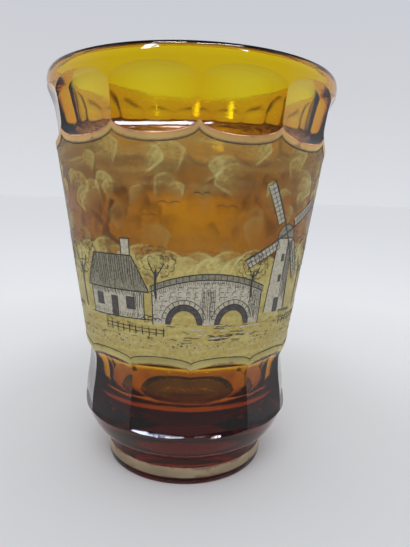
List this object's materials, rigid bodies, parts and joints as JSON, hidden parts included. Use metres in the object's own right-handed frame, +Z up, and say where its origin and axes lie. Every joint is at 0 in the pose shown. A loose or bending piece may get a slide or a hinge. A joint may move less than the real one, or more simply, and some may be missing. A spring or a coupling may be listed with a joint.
{
  "type": "conical vase",
  "caption": "Conical cut-glass vase with a round flared rim, hollow flutes, a painted picture band between scalloped gilt borders, upright facets and a short gilt-banded foot.",
  "frame": {"origin": "centre of the resting ring under the foot, on the surface that the vase stands on", "axes": "+Z up along the vase's axis; an edge between two facets faces -Y"},
  "size_m": [0.1102, 0.1102, 0.15],
  "materials": {
    "amber_glass": "clear amber glass, cut and polished: yellow where thin, orange and dark red-brown where thick",
    "rose_gilding": "fired rose-gold, satin, a little worn",
    "picture_enamel": "fired print and enamel, half opaque, khaki and grey over amber glass",
    "pale_gilding": "fired pale gold, dull satin, rubbed"
  },
  "bodies": {
    "root": {"glass_body": "amber_glass", "upper_gilt_border": "rose_gilding", "picture_band": "picture_enamel", "lower_gilt_border": "pale_gilding", "foot_gilt_band": "pale_gilding"}
  },
  "joints": []
}
